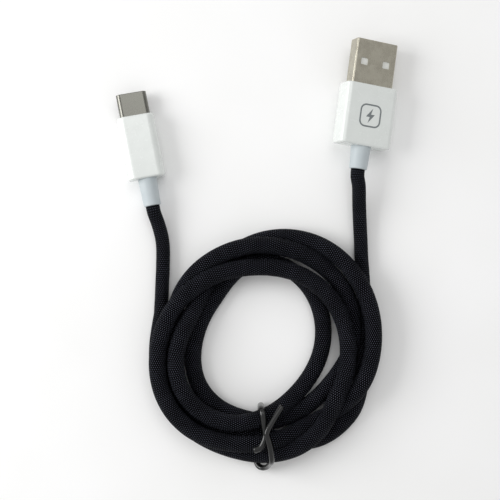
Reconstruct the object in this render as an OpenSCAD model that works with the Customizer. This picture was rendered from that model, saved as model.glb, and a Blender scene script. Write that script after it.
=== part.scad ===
// Charging cable: USB-A plug, USB-C plug, a braided cord in a coil and a wire twist tie.
// Millimetres. The coil lies on z = 0 and both plugs point towards +Y.

/* [USB-A plug] */
// Width of the housing
a_body_w = 15; // [14:0.5:17]
// Thickness of the housing
a_body_t = 7; // [7:0.1:8]
// Length of the housing
a_body_l = 16.5; // [16:0.5:22]
// Corner radius of the housing
a_body_r = 1.5; // [1:0.1:2]
// Length of the strain relief behind the housing
a_relief_l = 6.2; // [5:0.1:9]
// Diameter of the strain relief at the housing
a_relief_d = 5.4; // [5.2:0.1:6]
// Width of the shell
a_shell_w = 12; // [11.9:0.1:12.1]
// Thickness of the shell
a_shell_t = 4.5; // [4.4:0.1:4.6]
// Bare length of the shell
a_shell_out = 12; // [11.8:0.1:12.4]
// Turn of the plug about its own length, left edge up
a_roll = 18; // [0:1:30]
// Lean of the plug to the right of the Y axis
a_lean = 7.6; // [0:0.1:15]

/* [USB-C plug] */
// Width of the housing
c_body_w = 10.2; // [10:0.1:12]
// Thickness of the housing
c_body_t = 6.4; // [6.3:0.1:7]
// Length of the housing
c_body_l = 17.3; // [17:0.1:22]
// Corner radius of the housing
c_body_r = 2.4; // [2:0.1:2.5]
// Length of the strain relief behind the housing
c_relief_l = 7.6; // [5:0.1:9]
// Diameter of the strain relief at the housing
c_relief_d = 5.1; // [5:0.1:5.4]
// Width of the shell
c_shell_w = 8.25; // [8.2:0.05:8.3]
// Thickness of the shell
c_shell_t = 2.4; // [2.35:0.05:2.45]
// Bare length of the shell
c_shell_out = 6.4; // [6.2:0.1:6.7]
// Turn of the plug about its own length, left edge up
c_roll = 8; // [0:1:20]
// Lean of the plug to the left of the Y axis
c_lean = 11; // [0:0.1:20]

/* [Cord] */
// Diameter of the braided cord next to the plugs
lead_d = 3.8; // [3.6:0.1:4]
// Inner radius of the coil
coil_inner_r = 17; // [16.9:0.1:18]
// Outer radius of the coil
coil_outer_r = 31.3; // [30.5:0.1:32]
// Height of the coil
coil_h = 8.2; // [7:0.1:8.2]

/* [Twist tie] */
// Diameter of the plastic coat
tie_d = 1.5; // [1.2:0.1:1.5]
// Diameter of the steel core
tie_core_d = 0.5; // [0.4:0.1:0.6]

/* [Hidden] */

$fn = 48;
hull_fn = 32;
fit = 0.02;          // clearance between pieces that touch
eps = 0.5;           // overrun of a cut past the face that it opens
steel_t = 0.3;       // wall of the USB-A shell
c_steel_t = 0.25;    // wall of the USB-C shell
jacket_d = 3;        // cord under its braided sleeve
lead_gap = 0.05;     // from the strain relief's end to the free lead

// Where each housing's back face and the coil's centre lie on the table
a_pos = [28.1, 29.2];
c_pos = [-30.15, 20.65];
coil_pos = [2.3, -24.3];

// A plug's sizes: housing width, thickness, length, corner radius, relief length, relief
// diameter, relief end diameter, back wall, cavity width, cavity height, front wall
a_plug = [a_body_w, a_body_t, a_body_l, a_body_r, a_relief_l, a_relief_d, 4.85, 1.6, 12.6, 5, 2];
c_plug = [c_body_w, c_body_t, c_body_l, c_body_r, c_relief_l, c_relief_d, 4.7, 1.5, 8.6, 4.2, 2];
W = 0; T = 1; L = 2; R = 3; RELIEF_L = 4; RELIEF_D = 5; RELIEF_END_D = 6;
BACK = 7; CAVITY_W = 8; CAVITY_H = 9; FRONT = 10;
flange_l = 1.2;      // strain relief's flange inside the housing
crimp_l = 1.7;
jacket_bare = 0.8;   // jacket past the crimp, before the wires fan out

// Height of a rolled housing's axis above the table that its lower corner touches
function rest_height(p, roll) = (p[W] / 2 - p[R]) * sin(roll) + (p[T] / 2 - p[R]) * cos(roll) + p[R];
a_z = rest_height(a_plug, a_roll);
c_z = rest_height(c_plug, c_roll);

// Where the cord leaves each strain relief, and the way that it leaves
a_back = [-sin(a_lean), -cos(a_lean), 0];
c_back = [sin(c_lean), -cos(c_lean), 0];
a_exit = [a_pos.x, a_pos.y, a_z] + a_back * (a_relief_l + lead_gap);
c_exit = [c_pos.x, c_pos.y, c_z] + c_back * (c_relief_l + lead_gap);

// Free leads, from the strain relief down to the table and into the coil
lead_z = lead_d / 2 + fit;
lead_a_route = concat([a_exit, a_exit + a_back * 1.5], [
    [27.6, 18.5, 4.7], [27.8, 14, 3.5], [28.1, 9, 2.4], [28.4, 4, lead_z],
    [28.6, -1, lead_z], [29, -6, lead_z], [29.3, -11, lead_z]
]);
lead_c_route = concat([c_exit, c_exit + c_back * 1.5], [
    [-27.5, 9, 2.7], [-26.5, 5.5, 2.1], [-26, 2, lead_z], [-26, -3, lead_z],
    [-26.2, -8, lead_z], [-26.4, -13, lead_z], [-26.6, -16, lead_z]
]);

// Twist tie, from the coil's centre: short tail, over the strands and under them, a hook
// that stands off outside the coil, back over the top and the long tail
tie_low_z = tie_d / 2;
tie_route = [
    [-3.3, -28.3, 9], [-1.6, -27.6, 9.1], [-0.7, -26.2, 9.05], [-0.2, -24.6, 9],
    [-0.2, -23.2, 9], [-0.5, -21.4, 9.1], [-0.8, -19.4, 9.1], [-1, -18.2, 8.95],
    [-1.3, -17.3, 8], [-1.4, -17.1, 6], [-1.4, -17.1, 3], [-1.4, -17.4, 1.3],
    [-1.4, -18.6, tie_low_z], [-1.5, -22, tie_low_z], [-2, -29, tie_low_z],
    [-2.4, -31.5, tie_low_z], [-2.5, -33, 1], [-1.9, -34.1, 1.6], [-0.8, -34.4, 2.4],
    [0.3, -33.9, 3.5], [0.9, -32.9, 5.2], [1.3, -32, 7.2], [1.5, -31.1, 8.9],
    [1.4, -29.6, 9.7], [1.1, -27.5, 10.2], [0.5, -25.1, 10.55], [0.1, -23.6, 10.6],
    [0.5, -22.4, 10.5], [1.3, -21, 10.2], [2.4, -19.2, 9.8], [4.3, -16.4, 9.1]
];

// USB-A stations along the plug, from the housing's back face
a_shell_y = 10.6;
a_tip_y = a_body_l + a_shell_out;
a_block_end = 17.5;
a_pad_z = 0;                     // contact face of the four pads
a_pins = [[-3.5, 28], [-1, 27], [1, 27], [3.5, 28]];     // across, front end

// USB-C stations along the plug, from the housing's back face
c_shell_y = 12.3;
c_tip_y = c_body_l + c_shell_out;
c_block_end = 17.6;              // contact springs start here
c_front_y = c_tip_y - 1.1;       // front ring of the insulator
c_mouth_w = 6.8;
c_mouth_h = 1;
c_card_y = 7.4;
c_card_l = 4.4;
c_card_w = 6.6;
c_card_t = 0.6;
c_pitch = 0.5;
c_upper_pins = [-5.5, -2.5, -1.5, -0.5, 0.5, 2.5, 5.5];  // in pitches from the middle
c_lower_pins = [-5.5, -2.5, 2.5, 5.5];
c_wire_x = [-2.4, -0.8, 0.8, 2.4];

white = [0.92, 0.93, 0.92];
relief_grey = [0.78, 0.82, 0.85];
nickel = [0.6, 0.59, 0.55];
gold = [0.85, 0.68, 0.35];
black = [0.05, 0.05, 0.06];

// ---- shared shapes ----

module at_usb_a() translate([a_pos.x, a_pos.y, a_z]) rotate([0, 0, -a_lean]) rotate([0, a_roll, 0]) children();
module at_usb_c() translate([c_pos.x, c_pos.y, c_z]) rotate([0, 0, c_lean]) rotate([0, c_roll, 0]) children();
module at_coil() translate([coil_pos.x, coil_pos.y, 0]) children();

// Stands a shape drawn along +Z so that it runs along +Y from y
module along_y(y) translate([0, y, 0]) rotate([-90, 0, 0]) children();

// A block from y, centred across and about height z
module block(w, l, h, y, x = 0, z = 0) translate([x - w / 2, y, z - h / 2]) cube([w, l, h]);

module rod(d, l, y) along_y(y) cylinder(d = d, h = l);

module rounded_rect(w, t, r) {
    square([w - 2 * r, t], center = true);
    if (t - 2 * r > 0.001) square([w, t - 2 * r], center = true);
    for (x = [-1, 1], y = [-1, 1]) translate([x * (w / 2 - r), y * (t / 2 - r)]) circle(r);
}

module bar(w, t, r, l, y) along_y(y) linear_extrude(l) rounded_rect(w, t, r);

// A bar whose end edges are rounded to end_r
module soft_bar(w, t, r, l, end_r) {
    slice = 0.01;
    steps = 3;
    hull() for (i = [0 : steps], end = [0, 1]) {
        a = 90 * i / steps;
        inset = end_r * (1 - sin(a));
        depth = end_r * (1 - cos(a));
        y = end == 0 ? depth : l - depth - slice;
        bar(w - 2 * inset, t - 2 * inset, r - inset, slice, y, $fn = hull_fn);
    }
}

function unit(v) = v / norm(v);
function tangent(path, i) = unit(path[min(i + 1, len(path) - 1)] - path[max(i - 1, 0)]);
function square_to(v, t) = unit(v - (v * t) * t);
function normals(path, last, i = 0) =
    i == len(path) ? [] :
    let(n = square_to(last, tangent(path, i))) concat([n], normals(path, n, i + 1));

// A round tube swept along a list of points
module tube(path, d, sides = 8, first_normal = [1, 0, 0]) {
    n = normals(path, first_normal);
    last = len(path) - 1;
    points = [
        for (i = [0 : last], k = [0 : sides - 1])
            let(a = 360 * k / sides, u = n[i], v = cross(tangent(path, i), u))
                path[i] + d / 2 * (u * cos(a) + v * sin(a))
    ];
    walls = [
        for (i = [0 : last - 1], k = [0 : sides - 1])
            let(m = (k + 1) % sides)
                [i * sides + k, (i + 1) * sides + k, (i + 1) * sides + m, i * sides + m]
    ];
    near = [for (k = [0 : sides - 1]) k];
    far = [for (k = [sides - 1 : -1 : 0]) last * sides + k];
    polyhedron(points, concat([near], [far], walls));
}

// A path with its two ends drawn out straight by e
function drawn_out(path, e) =
    let(last = len(path) - 1)
        concat([path[0] - e * tangent(path, 0)], path, [path[last] + e * tangent(path, last)]);

// ---- pieces that both plugs have ----

// Overmoulded housing: hollow, with a round back hole and a front mouth for the shell
module housing(p, shell_w, shell_t, shell_r) {
    cavity_l = p[L] - p[BACK] - p[FRONT];
    difference() {
        soft_bar(p[W], p[T], p[R], p[L], 0.5);
        block(p[CAVITY_W] + 2 * fit, cavity_l, p[CAVITY_H] + 2 * fit, p[BACK]);
        rod(p[RELIEF_D] + 2 * fit, p[BACK] + 2 * eps, -eps);
        bar(shell_w + 2 * fit, shell_t + 2 * fit, shell_r + fit, p[FRONT] + 2 * eps, p[L] - p[FRONT] - eps);
    }
}

// Soft tapered sleeve with a flange that locks it inside the housing
module strain_relief(p) {
    chamfer = 0.35;
    neck = p[BACK] + flange_l / 2;
    sleeve = [
        [0, neck], [p[RELIEF_D] / 2 - 0.4, neck], [p[RELIEF_D] / 2 - 0.4, p[BACK]],
        [p[RELIEF_D] / 2, p[BACK]], [p[RELIEF_D] / 2, 0],
        [p[RELIEF_END_D] / 2, chamfer - p[RELIEF_L]], [p[RELIEF_END_D] / 2 - chamfer, -p[RELIEF_L]],
        [0, -p[RELIEF_L]]
    ];
    difference() {
        union() {
            along_y(0) rotate_extrude() polygon(sleeve);
            block(p[CAVITY_W] - 1.2, flange_l - fit, p[CAVITY_H] - 0.2, p[BACK] + fit);
        }
        rod(lead_d + 2 * fit, p[RELIEF_L] + p[BACK] + 0.4 + eps, -p[RELIEF_L] - eps);
        rod(jacket_d + 2 * fit, p[BACK] + flange_l + eps, 0);
    }
}

// Last stretch of cord inside the plug: sleeve, then bare jacket
module cable_end(p) {
    rod(lead_d, p[RELIEF_L] + p[BACK] + 0.3, -p[RELIEF_L]);
    rod(jacket_d, flange_l + crimp_l + jacket_bare, p[BACK]);
}

module crimp_ring(p) difference() {
    rod(jacket_d + 0.7, crimp_l, p[BACK] + flange_l + 2 * fit);
    rod(jacket_d + 2 * fit, crimp_l + 2 * eps, p[BACK] + flange_l - eps);
}

// Hard inner moulding round the crimp, with a pocket for the joints, open at the front
module inner_mould(p, end_y, pocket_w, pocket_h) {
    start = p[BACK] + flange_l + 2 * fit;
    pocket_y = p[BACK] + flange_l + crimp_l + 0.2;
    difference() {
        block(p[CAVITY_W], end_y - start, p[CAVITY_H], start);
        rod(jacket_d + 0.7 + 2 * fit, pocket_y + jacket_bare, 0);
        block(pocket_w, end_y - pocket_y + eps, pocket_h, pocket_y);
    }
}

// Insulated wire from the jacket's end, fanning out in an S to its joint at x
module wire(p, x, d, joint_y, joint_z) {
    side = x > 0 ? 1 : -1;
    low = abs(x) > 2 ? -1 : 1;
    start = [side * d * 0.62, p[BACK] + flange_l + crimp_l + jacket_bare + 0.25, low * d * 0.6];
    joint = [x, joint_y, joint_z];
    steps = 6;
    fan = [
        for (i = [0 : steps])
            let(t = i / steps, s = (1 - cos(180 * t)) / 2)
                [start.x + (joint.x - start.x) * s, start.y + (joint.y - start.y) * t,
                 start.z + (joint.z - start.z) * s]
    ];
    tube(concat(fan, [joint + [0, 1.2, 0]]), d);
}

// ---- USB-A plug ----

module usb_a_shell() color(nickel) at_usb_a() difference() {
    l = a_tip_y - a_shell_y;
    bar(a_shell_w, a_shell_t, 0.5, l, a_shell_y);
    bar(a_shell_w - 2 * steel_t, a_shell_t - 2 * steel_t, 0.2, l + 2 * eps, a_shell_y - eps);
    for (x = [-3.18, 3.18]) block(2.1, 1.9, a_shell_t + 2 * eps, a_tip_y - 6.95, x);
    block(0.12, l + 2 * eps, 2 * steel_t, a_shell_y - eps, 0, -a_shell_t / 2);
}

module usb_a_pad(i, gap = 0) {
    tail_y = 7.6;
    block(1 + 2 * gap, a_pins[i][1] - tail_y + gap, 0.3 + 2 * gap, tail_y, a_pins[i][0], a_pad_z - 0.15);
}

// The tongue lies on top, close under the upper windows, with its contacts facing down
module tongue_up() at_usb_a() rotate([0, 180, 0]) children();

module usb_a_insulator() color(white) tongue_up() difference() {
    w = a_shell_w - 2 * steel_t - 2 * fit;
    h = a_shell_t - 2 * steel_t - 2 * fit;
    bar(w, h, 0.2, a_tip_y - 0.3 - a_shell_y, a_shell_y);
    block(w + 2 * eps, a_tip_y - a_block_end, h / 2 + 0.05, a_block_end, 0, h / 4 - 0.025);
    for (i = [0 : 3]) usb_a_pad(i, fit);
}

module usb_a_contact(i) color(gold) tongue_up() usb_a_pad(i);
module usb_a_contact_vbus() usb_a_contact(0);
module usb_a_contact_data_minus() usb_a_contact(1);
module usb_a_contact_data_plus() usb_a_contact(2);
module usb_a_contact_ground() usb_a_contact(3);

module usb_a_wire(i, tint) color(tint) tongue_up() wire(a_plug, a_pins[i][0], 0.9, 7.5, a_pad_z + 0.5);
module usb_a_wire_vbus() usb_a_wire(0, "red");
module usb_a_wire_data_minus() usb_a_wire(1, "white");
module usb_a_wire_data_plus() usb_a_wire(2, "green");
module usb_a_wire_ground() usb_a_wire(3, black);

module usb_a_crimp_ring() color(nickel) at_usb_a() crimp_ring(a_plug);
module usb_a_cable_end() color(black) at_usb_a() cable_end(a_plug);
module usb_a_inner_mould() color("ivory") at_usb_a() inner_mould(a_plug, a_shell_y - fit, 9.4, 2.6);
module usb_a_housing() color(white) at_usb_a() housing(a_plug, a_shell_w, a_shell_t, 0.5);
module usb_a_strain_relief() color(relief_grey) at_usb_a() strain_relief(a_plug);

// ---- USB-C plug ----

module usb_c_shell() color(nickel) at_usb_c() difference() {
    l = c_tip_y - c_shell_y;
    inner_t = c_shell_t - 2 * c_steel_t;
    bar(c_shell_w, c_shell_t, c_shell_t / 2, l, c_shell_y);
    bar(c_shell_w - 2 * c_steel_t, inner_t, inner_t / 2, l + 2 * eps, c_shell_y - eps);
}

// Moulded frame: rear block, two side rails and a front ring round the mouth
module usb_c_insulator() color(black) at_usb_c() difference() {
    w = c_shell_w - 2 * c_steel_t - 0.1;
    t = c_shell_t - 2 * c_steel_t - 0.1;
    window_w = 6.1;
    bar(w, t, t / 2, c_tip_y - 0.3 - c_shell_y, c_shell_y);
    block(c_mouth_w, c_tip_y - c_block_end, c_mouth_h, c_block_end);
    block(window_w, c_front_y - c_block_end, t + 2 * eps, c_block_end);
    for (side = [-1, 1]) {
        block(0.7, c_front_y - 13.4, 0.7, 13.4, side * 3.6);
        block(5.1, 0.7, 0.3, c_front_y + 0.2, 0, side * t / 2);
        block(window_w, c_block_end - c_shell_y + 2 * eps, 0.15 + 2 * fit, c_shell_y - eps, 0, side * 0.395);
    }
    block(c_mouth_w - 0.1, 17.4 - c_shell_y + eps, 0.15 + 2 * fit, c_shell_y - eps);
}

module usb_c_mid_plate() color(nickel) at_usb_c() block(c_mouth_w - 0.2, 17.3 - c_shell_y, 0.15, c_shell_y);

// Side spring with a hook that drops into the socket's notch; side is -1 or 1
module latch(side) color(nickel) at_usb_c() {
    block(0.2, 8.5, 0.6, 13.6, side * 3.5);
    block(0.5, 0.9, 0.6, 21.2, side * 3.35);
}
module usb_c_latch_left() latch(-1);
module usb_c_latch_right() latch(1);

module contact_tails(pins, side) color(gold) at_usb_c()
    for (n = pins) block(0.25, c_block_end - 0.1 - 10.4, 0.15, 10.4, n * c_pitch, side * 0.395);
module usb_c_contact_tails_upper() contact_tails(c_upper_pins, 1);
module usb_c_contact_tails_lower() contact_tails(c_lower_pins, -1);

// Spring fingers: a straight beam with a bent-in touch point near its front end
module contact_springs(pins, side) color(gold) at_usb_c() for (n = pins) {
    block(0.25, 4.4, 0.15, c_block_end + 0.05, n * c_pitch, side * 0.575);
    block(0.25, 0.6, 0.3, c_block_end + 3.6, n * c_pitch, side * 0.45);
}
module usb_c_contact_springs_upper() contact_springs(c_upper_pins, 1);
module usb_c_contact_springs_lower() contact_springs(c_lower_pins, -1);

module emi_spring(side) color(nickel) at_usb_c() block(5, 0.6, 0.12, c_front_y + 0.25, 0, side * 0.845);
module usb_c_emi_spring_upper() emi_spring(1);
module usb_c_emi_spring_lower() emi_spring(-1);

module usb_c_paddle_card() color("darkgreen") at_usb_c() block(c_card_w, c_card_l, c_card_t, c_card_y);
module usb_c_pull_up_resistor() color("dimgray") at_usb_c() block(1, 0.5, 0.35, 9.4, 0, c_card_t / 2 + 0.175 + fit);

// Folded steel box round the card
module usb_c_rear_shield() color(nickel) at_usb_c() difference() {
    block(7.34, 6.4, 2.74, 5.7);
    block(7.04, 6.4 + 2 * eps, 2.44, 5.7 - eps);
}

module usb_c_wire(i, tint) color(tint) at_usb_c() wire(c_plug, c_wire_x[i], 0.8, 7.35, c_card_t / 2 + 0.44);
module usb_c_wire_vbus() usb_c_wire(0, "red");
module usb_c_wire_data_minus() usb_c_wire(1, "white");
module usb_c_wire_data_plus() usb_c_wire(2, "green");
module usb_c_wire_ground() usb_c_wire(3, black);

module usb_c_crimp_ring() color(nickel) at_usb_c() crimp_ring(c_plug);
module usb_c_cable_end() color(black) at_usb_c() cable_end(c_plug);
module usb_c_inner_mould() color("ivory") at_usb_c() inner_mould(c_plug, c_shell_y - 0.1, 7.4, 2.8);
module usb_c_housing() color(white) at_usb_c() housing(c_plug, c_shell_w, c_shell_t, c_shell_t / 2);
module usb_c_strain_relief() color(relief_grey) at_usb_c() strain_relief(c_plug);

// ---- cord ----

// Outer shape of the wound turns, with room for the tie inside, under and outside them
module cord_coil() color(black) at_coil() difference() {
    w = coil_outer_r - coil_inner_r;
    rotate_extrude($fn = 96) translate([coil_inner_r + w / 2, coil_h / 2]) rounded_rect(w, coil_h, 2);
    translate([-2.4, -coil_inner_r - 1.7, -eps]) cube([2.4, 2, coil_h + 2 * eps]);
    translate([-3.4, -coil_outer_r - eps, -eps]) cube([3.4, w + 2 * eps, tie_d + 0.1 + eps]);
    translate([-3.4, -coil_outer_r - eps, -eps]) cube([6.2, 1.5 + eps, coil_h + 2 * eps]);
}

module cord_lead_usb_a() color(black) tube(lead_a_route, lead_d);
module cord_lead_usb_c() color(black) tube(lead_c_route, lead_d);

// ---- twist tie ----

module twist_tie_coat() color(black) at_coil() difference() {
    tube(tie_route, tie_d);
    tube(drawn_out(tie_route, 0.3), tie_core_d + 2 * fit, 6);
}
module twist_tie_core() color(nickel) at_coil() tube(tie_route, tie_core_d, 6);

usb_a_shell();
usb_a_insulator();
usb_a_contact_vbus();
usb_a_contact_data_minus();
usb_a_contact_data_plus();
usb_a_contact_ground();
usb_a_wire_vbus();
usb_a_wire_data_minus();
usb_a_wire_data_plus();
usb_a_wire_ground();
usb_a_crimp_ring();
usb_a_cable_end();
usb_a_inner_mould();
usb_a_housing();
usb_a_strain_relief();
usb_c_shell();
usb_c_insulator();
usb_c_mid_plate();
usb_c_latch_left();
usb_c_latch_right();
usb_c_contact_tails_upper();
usb_c_contact_tails_lower();
usb_c_contact_springs_upper();
usb_c_contact_springs_lower();
usb_c_emi_spring_upper();
usb_c_emi_spring_lower();
usb_c_paddle_card();
usb_c_pull_up_resistor();
usb_c_rear_shield();
usb_c_wire_vbus();
usb_c_wire_data_minus();
usb_c_wire_data_plus();
usb_c_wire_ground();
usb_c_crimp_ring();
usb_c_cable_end();
usb_c_inner_mould();
usb_c_housing();
usb_c_strain_relief();
cord_coil();
cord_lead_usb_a();
cord_lead_usb_c();
twist_tie_coat();
twist_tie_core();
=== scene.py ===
import math

import bmesh
import bpy
import numpy as np
from mathutils import Matrix, Vector


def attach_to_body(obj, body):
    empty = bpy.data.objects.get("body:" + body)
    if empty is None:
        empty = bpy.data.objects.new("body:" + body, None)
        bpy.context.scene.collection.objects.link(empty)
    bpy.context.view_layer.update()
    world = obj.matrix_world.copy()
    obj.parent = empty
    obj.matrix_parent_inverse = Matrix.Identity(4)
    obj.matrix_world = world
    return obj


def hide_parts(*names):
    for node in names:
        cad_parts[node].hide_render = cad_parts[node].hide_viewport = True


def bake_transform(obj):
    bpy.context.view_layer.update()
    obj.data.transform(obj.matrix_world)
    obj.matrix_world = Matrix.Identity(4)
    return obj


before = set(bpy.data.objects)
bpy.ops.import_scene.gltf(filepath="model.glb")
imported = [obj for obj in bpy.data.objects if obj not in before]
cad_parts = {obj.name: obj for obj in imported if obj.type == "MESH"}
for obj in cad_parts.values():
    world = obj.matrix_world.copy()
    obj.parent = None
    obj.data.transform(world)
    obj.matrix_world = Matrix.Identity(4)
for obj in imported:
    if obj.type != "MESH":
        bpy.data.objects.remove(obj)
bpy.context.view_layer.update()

MM = 0.001

# ---- sizes, in millimetres, the same as in the part's source ----

FIT = 0.02
LEAD_D = 3.8            # braided cord next to the plugs
COIL_D = 4.1            # the same cord where its sleeve is bunched up in the coil
COIL_W = 4.6            # and its width there, because the turns press it a little flat
COIL_POS = (2.3, -24.3)

# Plugs: the back face of each housing stands at pos, and +Y runs to the tip
USB_A = {
    "pos": (28.1, 29.2), "lean": -7.6, "roll": 18.0,
    "width": 15.0, "thick": 7.0, "length": 16.5, "corner": 1.5,
    "relief_l": 6.2, "relief_d": 5.4, "relief_end_d": 4.85,
    "shell_w": 12.0, "shell_t": 4.5, "shell_r": 0.5, "shell_wall": 0.3,
    "shell_y": 10.6, "tip_y": 28.5, "cavity_w": 12.6, "cavity_h": 5.0, "back": 1.6,
}
USB_C = {
    "pos": (-30.15, 20.65), "lean": 11.0, "roll": 8.0,
    "width": 10.2, "thick": 6.4, "length": 17.3, "corner": 2.4,
    "relief_l": 7.6, "relief_d": 5.1, "relief_end_d": 4.7,
    "shell_w": 8.25, "shell_t": 2.4, "shell_r": 1.19, "shell_wall": 0.25,
    "shell_y": 12.3, "tip_y": 23.7, "cavity_w": 8.6, "cavity_h": 4.2, "back": 1.5,
}
FRONT_WALL = 2.0
LEAD_GAP = 0.05


def axis_height(plug):
    """Height of a rolled housing's axis above the table that its lower corner touches."""
    roll = math.radians(plug["roll"])
    half_w = plug["width"] / 2 - plug["corner"]
    half_t = plug["thick"] / 2 - plug["corner"]
    return half_w * math.sin(roll) + half_t * math.cos(roll) + plug["corner"]


def plug_matrix(plug):
    """Turns a plug's own millimetres into the shared frame in metres."""
    x, y = plug["pos"]
    place = Matrix.Translation(Vector((x, y, axis_height(plug))) * MM)
    lean = Matrix.Rotation(math.radians(plug["lean"]), 4, "Z")
    roll = Matrix.Rotation(math.radians(plug["roll"]), 4, "Y")
    return place @ lean @ roll


def plug_back(plug):
    """Way that the cord leaves a plug, and the point where it leaves the strain relief."""
    lean = math.radians(plug["lean"])
    back = np.array([math.sin(lean), -math.cos(lean), 0.0])
    start = np.array([*plug["pos"], axis_height(plug)])
    return back, start + back * (plug["relief_l"] + LEAD_GAP)


# ---- camera, straight above, as a copy stand has it ----

VIEW_HEIGHT = 265.0
VIEW_CENTRE = (-2.05, 1.1)
HALF_FIELD = 250.0 / 956.0      # half the view's width over the camera's height
SENSOR_W = 36.0


def make_camera():
    camera_data = bpy.data.cameras.new("camera")
    camera_data.sensor_width = SENSOR_W
    camera_data.lens = camera_data.sensor_width / 2 / HALF_FIELD
    camera_data.clip_start = 0.01
    camera_data.clip_end = 10.0
    camera = bpy.data.objects.new("camera", camera_data)
    camera.location = (VIEW_CENTRE[0] * MM, VIEW_CENTRE[1] * MM, VIEW_HEIGHT * MM)
    bpy.context.scene.collection.objects.link(camera)
    bpy.context.scene.camera = camera


make_camera()


# ---- cord ----

STRAIGHT_OUT = 1.5      # how far a lead keeps its plug's line out of the strain relief


def lead_routes():
    """The two free leads, from each strain relief down to the table and into the coil."""
    a_back, a_exit = plug_back(USB_A)
    c_back, c_exit = plug_back(USB_C)
    low = LEAD_D / 2 + FIT
    lead_a = [a_exit, a_exit + a_back * STRAIGHT_OUT]
    lead_a += [(27.6, 18.5, 4.7), (27.8, 14, 3.5), (28.1, 9, 2.4), (28.4, 4, low)]
    lead_a += [(28.6, -1, low), (29, -6, low), (29.3, -11, low)]
    lead_c = [c_exit, c_exit + c_back * STRAIGHT_OUT]
    lead_c += [(-27.5, 9, 2.7), (-26.5, 5.5, 2.1), (-26, 2, low), (-26, -3, low)]
    lead_c += [(-26.2, -8, low), (-26.4, -13, low), (-26.6, -16, low)]
    return np.array(lead_a, float), np.array(lead_c, float)


# Where each turn lies: angle round the coil, distance from its middle, and height.
# The turns run anticlockwise from the USB-C lead, a little over four and a half times round.
LOW = 2.05              # middle of a strand on the table
HIGH = 6.15             # middle of a strand that lies on another
TURNS = [
    [(180, 29.2, LOW), (195, 30.6, LOW), (205, 31.7, LOW), (220, 32.1, LOW), (235, 31.7, LOW),
     (250, 30.7, 3.2), (262, 30.4, 4.8), (285, 30.0, HIGH), (295, 28.9, 5.9), (303, 27.2, HIGH),
     (320, 24.6, HIGH), (330, 23.5, HIGH), (345, 22.6, HIGH), (360, 22.1, HIGH),
     (390, 21.4, HIGH), (405, 21.1, HIGH), (420, 20.9, HIGH), (435, 20.6, HIGH), (450, 20.5, HIGH),
     (465, 21.1, HIGH), (480, 22.3, HIGH), (495, 24.0, 6.4), (510, 25.9, 6.6), (525, 27.8, 6.4)],
    [(180, 29.0, HIGH), (195, 30.8, HIGH), (205, 31.6, HIGH), (218, 31.9, HIGH),
     (230, 31.4, HIGH), (240, 30.2, HIGH), (250, 28.6, HIGH), (262, 27.2, HIGH),
     (275, 26.7, HIGH), (285, 25.2, 5.5), (295, 24.8, 3.6), (303, 24.9, 2.4), (315, 26.6, 3.4),
     (330, 28.3, 5.4), (360, 29.2, HIGH), (375, 29.9, HIGH), (390, 30.4, 6.1), (405, 31.0, 5.6),
     (420, 31.0, 4.2), (435, 30.1, 2.8), (450, 28.7, LOW), (465, 26.8, LOW), (480, 24.4, LOW),
     (490, 22.6, 2.3), (500, 21.3, 3.2), (510, 20.8, 4.6), (525, 22.0, 5.8)],
    [(180, 23.7, HIGH), (190, 25.0, HIGH), (200, 26.1, HIGH), (210, 26.5, HIGH),
     (222, 25.9, HIGH), (240, 24.4, HIGH), (250, 22.9, HIGH), (262, 21.3, HIGH),
     (275, 19.2, 4.6), (285, 17.4, 3.0), (295, 16.3, LOW), (315, 15.1, LOW), (330, 14.8, LOW),
     (345, 14.9, LOW), (360, 15.4, LOW), (375, 16.0, LOW), (390, 17.1, LOW), (405, 18.5, LOW),
     (420, 20.0, LOW), (435, 21.2, LOW), (450, 22.8, LOW), (465, 22.3, LOW), (480, 20.6, LOW),
     (495, 19.1, LOW), (510, 18.4, LOW), (525, 18.6, LOW)],
    [(180, 19.4, LOW), (195, 20.6, LOW), (210, 22.0, LOW), (240, 22.1, LOW), (255, 21.4, LOW),
     (275, 21.0, LOW), (300, 20.7, 2.8), (315, 20.4, 2.8), (330, 20.7, 2.4), (345, 22.2, LOW),
     (360, 24.4, LOW), (375, 25.2, 2.5), (390, 26.0, 3.2), (405, 26.1, 4.2), (420, 26.2, 5.0),
     (435, 26.4, 5.8), (450, 26.9, HIGH), (480, 27.2, HIGH), (495, 27.2, 5.0), (510, 26.9, 3.2),
     (525, 26.8, LOW)],
    [(195, 27.0, LOW), (210, 27.4, LOW), (225, 27.6, 2.4), (235, 26.9, 2.4), (245, 25.8, LOW),
     (262, 25.0, LOW), (275, 26.0, LOW), (285, 28.3, LOW), (295, 30.7, LOW), (303, 31.5, LOW),
     (315, 30.7, LOW), (330, 28.6, LOW), (345, 27.6, LOW), (360, 27.4, LOW), (375, 28.7, LOW),
     (380, 29.3, LOW)],
]
FIRST_ANGLE, LAST_ANGLE, ANGLE_STEP = 172.5, 1820.0, 7.5
EASING_ROUNDS = 3       # rounds of smoothing, so that a strand rises and falls gently
MID_R = 23.0            # the turns are drawn in towards this radius,
DRAWN_IN = 0.97         # to this share of their distance from it, as the sleeve is wide

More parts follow.
